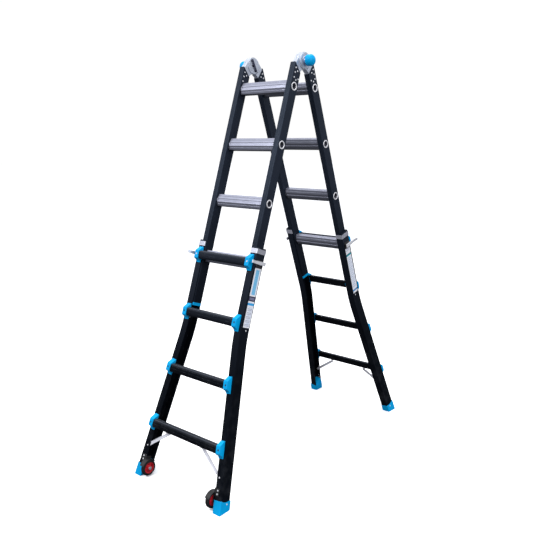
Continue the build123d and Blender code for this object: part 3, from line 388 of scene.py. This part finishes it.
@cache
def screw_metal(side):
    """Bright heads high on the section; the heads lower down are painted dark, a painted shade
    standing for their shaded recesses.
    """
    painted_shade_from = 1.1         # distance down from the hinge
    g = Surface(f"screw_{side}")
    place, _, _, down = g.section(side)
    tarnish = g.noise(place, scale=420, detail=4)
    # heads further down than the threshold get a dark painted-shade colour in place of the
    # bright one
    colour = g.mix(g.math("GREATER_THAN", down, painted_shade_from), srgb(238, 240, 246),
                   srgb(52, 56, 66))
    colour = g.mix(g.remap(tarnish, over=(0.50, 0.72), to=(0, 0.4)), colour,
                   srgb(120, 120, 126))
    return g.finish(
        colour, g.remap(tarnish, over=(0.3, 0.7), to=(0.28, 0.45)),
        g.bump(tarnish, strength=0.12, distance=0.0003, normal=g.soft(0.0005)),
        metallic=0.5)


RUBBER = dict(rough=0.62, grain=500, bump=0.4, dirt=0.15)


def material_for(name):
    """Material of a CAD piece; the first rule that fits its name wins."""
    side = "rear" if name.startswith("rear") else "front"

    def has(*words):
        return any(word in name for word in words)

    if (has("rail_plugs", "knob") or (has("brackets") and has("tread"))
            or name.endswith("feet")):
        return plastic("blue_plastic", PLASTIC_BLUE, rough=0.40, bump=0.12, dirt=0.18,
                       specular=0.12)
    if has("inner_rail", "outer_rail"):
        return painted("rail_paint", side, RAIL_BLUE, specular=0.27)
    if name.endswith("rungs"):
        return rung_metal(side)
    if name.endswith("treads"):
        return painted("tread_paint", side, TREAD_BLUE, specular=0.26)
    if has("fork", "tongue"):
        return casting()
    if has("screws"):
        return screw_metal(side)
    if has("rivets"):
        return metal("rivet_metal", srgb(240, 242, 247), rough=0.34, metallic=0.40)
    if has("spring"):
        return metal("spring_steel", srgb(140, 140, 146), rough=0.34)
    if has("guide_pads", "housings"):
        return plastic("dark_plastic", (0.018, 0.018, 0.022), rough=0.45)
    if has("tyre"):
        return plastic("tyre", (0.015, 0.015, 0.017), specular=0.35, **RUBBER)
    if has("hub"):
        return plastic("hub_red", HUB_RED, rough=0.33)
    if has("labels"):
        return label_film(side)
    if has("wheel_brackets"):
        return plastic("dark_plate", (0.008, 0.0085, 0.010), rough=0.42)
    if has("lock") and has("hinge"):
        return metal("dark_steel", srgb(88, 90, 108), rough=0.38)
    if has("braces"):
        return metal("bright_strip", srgb(244, 244, 252), rough=0.40, metallic=0.22)
    if name.endswith(("_lock_left", "_lock_right")):
        return metal("lever_steel", srgb(240, 241, 248), rough=0.32, grain=(60, 900, 60),
                     bump=0.10, metallic=0.35)
    return metal("bright_steel", srgb(222, 224, 238), rough=0.30, metallic=0.72)


for name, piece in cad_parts.items():
    piece.data.materials.clear()
    piece.data.materials.append(material_for(name))


# ------------------------------------------------------------------ tyres
def add_object(name, bm):
    mesh = bpy.data.meshes.new(name)
    bm.to_mesh(mesh)
    bm.free()
    made = bpy.data.objects.new(name, mesh)
    scene.collection.objects.link(made)
    return made


# (x from the tyre's middle, radius) in mm, from the bead over a sidewall with a raised
# line and the shoulder to a crown with grooves round it
HALF_PROFILE = [
    (8.5, 27.0), (9.6, 28.4), (9.9, 30.2), (10.15, 30.5), (10.15, 31.5), (9.95, 31.8),
    (10.0, 33.6), (9.5, 35.6), (8.6, 37.0), (7.4, 38.0), (6.1, 38.4), (5.0, 38.6),
    (4.7, 37.5), (3.6, 37.5), (3.3, 38.75), (1.6, 38.9),
]
TYRE_PROFILE = HALF_PROFILE + [(-x, radius) for x, radius in reversed(HALF_PROFILE)]
TYRE_STATIONS = 144
# short cross cuts in both shoulders, staggered from one side to the other
CUT_MIN_X, CUT_MIN_RADIUS, CUT_DEPTH = 5.5, 36.5, 0.9   # mm
CUT_PITCH, CUT_WIDTH = 6, 2                             # stations


def tyre_radius(station, x, radius):
    stagger = CUT_PITCH // 2 if x < 0 else 0
    on_shoulder = abs(x) > CUT_MIN_X and radius > CUT_MIN_RADIUS
    if on_shoulder and (station + stagger) % CUT_PITCH < CUT_WIDTH:
        return radius - CUT_DEPTH
    return radius


def build_tyre(tag):
    low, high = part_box(f"tyre_{tag}")
    centre = (Vector(low) + Vector(high)) / 2
    bm = bmesh.new()
    rings = []
    for i in range(TYRE_STATIONS):
        angle = 2 * math.pi * i / TYRE_STATIONS
        ring = []
        for x, radius in TYRE_PROFILE:
            r = tyre_radius(i, x, radius) / 1000
            offset = Vector((x / 1000, r * math.cos(angle), r * math.sin(angle)))
            ring.append(bm.verts.new(centre + offset))
        rings.append(ring)
    count = len(TYRE_PROFILE)
    for i, ring in enumerate(rings):
        following = rings[(i + 1) % TYRE_STATIONS]
        for j in range(count):
            k = (j + 1) % count
            bm.faces.new((ring[j], ring[k], following[k], following[j]))
    bmesh.ops.recalc_face_normals(bm, faces=bm.faces)
    return add_object(f"tyre_{tag}_tread", bm)


for tag in ("left", "right"):
    tyre = build_tyre(tag)
    tyre.data.materials.append(
        plastic("tyre_rubber", (0.006, 0.006, 0.007), specular=0.30, **RUBBER))
    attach(tyre, f"wheel_{tag}")
    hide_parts(f"tyre_{tag}")


# ------------------------------------------------------------------ floor
def floor_material():
    """Near white to the camera, but dark to other rays, which keeps undersides deep."""
    seen, bounced = (1.34, 1.345, 1.36), (0.10, 0.102, 0.108)
    g = Surface("floor")
    colour = g.mix(g.node("LightPath").outputs["Is Camera Ray"], bounced, seen)
    mottle = g.noise(g.place, scale=2.0)
    colour = g.mix(g.remap(mottle, over=(0.3, 0.7), to=(0, 0.02)), colour, (0.5, 0.5, 0.5))
    return g.finish(colour, g.remap(mottle, over=(0.3, 0.7), to=(0.80, 0.90)), specular=0.0)


bm = bmesh.new()
bmesh.ops.create_circle(bm, cap_ends=True, segments=96, radius=40.0)
floor = add_object("floor", bm)
floor.location.z = -0.0005
floor.data.materials.append(floor_material())

# ------------------------------------------------------------------ world
# (height from straight down at 0 to straight up at 1, colour) of the lighting sky
SKY = [
    (0.0, (0.02, 0.02, 0.025)), (0.49, (0.06, 0.062, 0.07)), (0.53, (0.62, 0.64, 0.70)),
    (0.70, (0.86, 0.88, 0.93)), (1.0, (1.0, 1.0, 1.0)),
]


def build_world():
    """Graded sky for lighting, plain white to the camera."""
    world = bpy.data.worlds.new("studio")
    scene.world = world
    world.use_nodes = True
    g = Graph(world.node_tree)
    height = g.split(g.node("TexCoord").outputs["Generated"])[2]
    sky = g.ramp(g.remap(height, over=(-1.0, 1.0)), SKY)
    lighting = g.node("Background", {"Color": sky, "Strength": 0.95})
    backdrop = g.node("Background", {"Color": (1.0, 1.0, 1.0), "Strength": 1.02})
    blend = g.node("MixShader", {0: g.node("LightPath").outputs["Is Camera Ray"],
                                 1: lighting.outputs[0], 2: backdrop.outputs[0]})
    g.node("OutputWorld", {0: blend.outputs[0]})


build_world()

# ------------------------------------------------------------------ lights
LIGHT_TARGET = Vector((0, 0, 1.0))
# name, place, side of the square, watts
LIGHTS = [
    ("key", (-1.6, -4.2, 4.6), 2.6, 150),
    ("top", (0.3, 0.3, 5.4), 3.2, 110),
    ("fill", (4.4, -0.8, 2.6), 2.4, 75),
]
for name, place, size, watts in LIGHTS:
    light = bpy.data.lights.new(name, "AREA")
    light.shape = "RECTANGLE"
    light.size = light.size_y = size
    light.energy = watts
    lamp = bpy.data.objects.new(name, light)
    scene.collection.objects.link(lamp)
    lamp.location = place
    lamp.rotation_euler = (LIGHT_TARGET - Vector(place)).to_track_quat("-Z", "Y").to_euler()

# ------------------------------------------------------------------ camera
CAMERA_PLACE = Vector((2.1276, -2.5172, 1.6049))
YAW, PITCH, ROLL = math.radians(40.422), math.radians(-11.945), math.radians(-0.396)
lens = bpy.data.cameras.new("camera")
lens.sensor_width = 36.0
lens.lens = 42.565745
lens.clip_end = 200
camera = bpy.data.objects.new("camera", lens)
scene.collection.objects.link(camera)
forward = Vector((-math.sin(YAW) * math.cos(PITCH), math.cos(YAW) * math.cos(PITCH),
                  math.sin(PITCH)))
level = Vector((math.cos(YAW), math.sin(YAW), 0))
upright = level.cross(forward)
right = level * math.cos(ROLL) + upright * math.sin(ROLL)
up = -level * math.sin(ROLL) + upright * math.cos(ROLL)
pose = Matrix((right, up, -forward)).transposed().to_4x4()
pose.translation = CAMERA_PLACE
camera.matrix_world = pose
scene.camera = camera
scene.view_settings.view_transform = "Standard"
scene.view_settings.look = "None"
